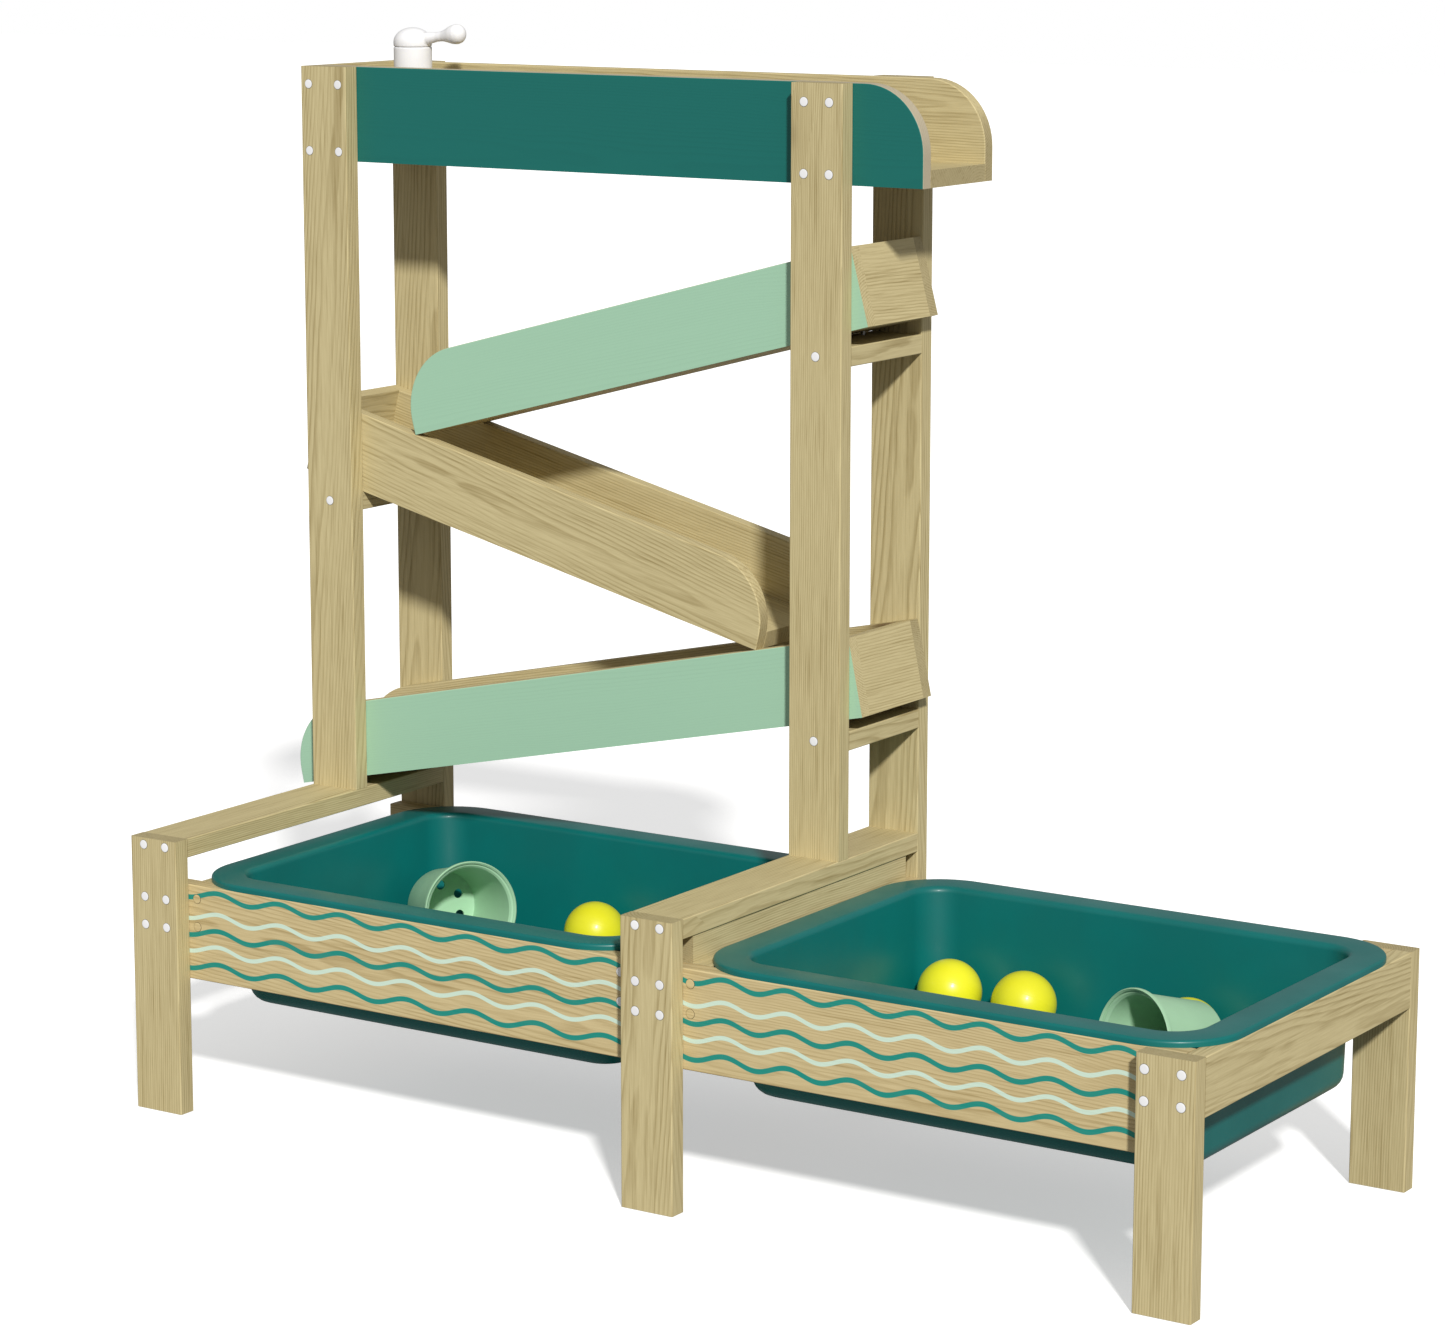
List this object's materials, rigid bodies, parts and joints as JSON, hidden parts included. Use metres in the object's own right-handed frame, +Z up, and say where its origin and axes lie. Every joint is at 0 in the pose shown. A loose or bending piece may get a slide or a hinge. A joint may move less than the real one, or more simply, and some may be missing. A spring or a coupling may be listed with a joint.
{
  "type": "wave slide",
  "caption": "Timber water-play table with two moulded tubs and a tower carrying a tap trough above zig-zag ramps for water and balls.",
  "frame": {"origin": "centre of the whole piece's footprint, on the floor", "axes": "+X along the frame away from the tower, +Y to the rear where the tower stands, +Z up"},
  "size_m": [1.2302, 0.465, 1.0835],
  "materials": {
    "pine": "planed, clear-treated softwood",
    "pine_panel": "planed softwood with printed wave lines",
    "teal_board": "painted satin",
    "mint_board": "painted satin",
    "tub_plastic": "moulded, soft gloss",
    "cup_plastic": "moulded",
    "ball_plastic": "moulded",
    "white_plastic": "moulded, glossy",
    "wood_plug": "plug matched to the timber",
    "zinc_steel": "zinc plated"
  },
  "bodies": {
    "frame": {"bearer_screws": "zinc_steel", "centre_divider": "pine", "front_left_leg": "pine", "front_left_panel": "pine_panel", "front_middle_leg": "pine", "front_right_leg": "pine", "front_right_panel": "pine_panel", "left_bay_inner_bearer": "pine", "left_bearer": "pine", "left_cross_rail": "pine", "leg_screws": "zinc_steel", "lower_batten": "pine", "lower_ramp_end_board": "pine", "lower_ramp_floor": "pine", "lower_ramp_front_board": "mint_board", "lower_ramp_rear_board": "pine", "middle_batten": "pine", "middle_cross_rail": "pine", "middle_ramp_end_board": "pine", "middle_ramp_floor": "pine", "middle_ramp_front_board": "pine", "middle_ramp_rear_board": "pine", "post_foot_screws": "zinc_steel", "ramp_screws": "zinc_steel", "rear_left_panel": "pine_panel", "rear_left_post": "pine", "rear_middle_post": "pine", "rear_right_leg": "pine", "rear_right_panel": "pine_panel", "right_bay_inner_bearer": "pine", "right_end_board": "pine", "screw_caps": "white_plastic", "tap_body": "white_plastic", "tap_nut": "white_plastic", "tap_washer": "zinc_steel", "tower_left_post": "pine", "tower_right_post": "pine", "tower_screws": "zinc_steel", "trough_end_board": "pine", "trough_floor": "pine", "trough_front_board": "teal_board", "trough_rear_board": "pine", "upper_batten": "pine", "upper_ramp_end_board": "pine", "upper_ramp_floor": "pine", "upper_ramp_front_board": "mint_board", "upper_ramp_rear_board": "pine", "wood_plugs": "wood_plug"},
    "tap_lever": {"tap_handle": "white_plastic", "tap_spindle": "white_plastic"},
    "left_tub": {"left_tub": "tub_plastic"},
    "right_tub": {"right_tub": "tub_plastic"},
    "sieve_cup": {"sieve_cup": "cup_plastic"},
    "left_ball": {"left_ball": "ball_plastic"},
    "scoop_cup": {"scoop_cup": "cup_plastic"},
    "rear_ball": {"rear_ball": "ball_plastic"},
    "middle_ball": {"middle_ball": "ball_plastic"},
    "right_ball": {"right_ball": "ball_plastic"}
  },
  "joints": [
    {"name": "tap_turn", "type": "hinge", "parent": "frame", "child": "tap_lever", "pos_m": [-0.5019, 0.1463, 1.058], "axis": [0, 0, 1], "range_deg": [0, 90]},
    {"name": "left_tub_lift", "type": "slide", "parent": "frame", "child": "left_tub", "axis": [0, 0, 1], "range_m": [0, 0.018]},
    {"name": "right_tub_lift", "type": "slide", "parent": "frame", "child": "right_tub", "axis": [0, 0, 1], "range_m": [0, 0.15]},
    {"name": "sieve_cup_lift", "type": "slide", "parent": "left_tub", "child": "sieve_cup", "axis": [0, 0, 1], "range_m": [0, 0.08]},
    {"name": "left_ball_lift", "type": "slide", "parent": "left_tub", "child": "left_ball", "axis": [0, 0, 1], "range_m": [0, 0.15]},
    {"name": "scoop_cup_lift", "type": "slide", "parent": "right_tub", "child": "scoop_cup", "axis": [0, 0, 1], "range_m": [0, 0.15]},
    {"name": "rear_ball_lift", "type": "slide", "parent": "right_tub", "child": "rear_ball", "axis": [0, 0, 1], "range_m": [0, 0.15]},
    {"name": "middle_ball_lift", "type": "slide", "parent": "right_tub", "child": "middle_ball", "axis": [0, 0, 1], "range_m": [0, 0.15]},
    {"name": "right_ball_lift", "type": "slide", "parent": "right_tub", "child": "right_ball", "axis": [0, 0, 1], "range_m": [0, 0.15]}
  ]
}
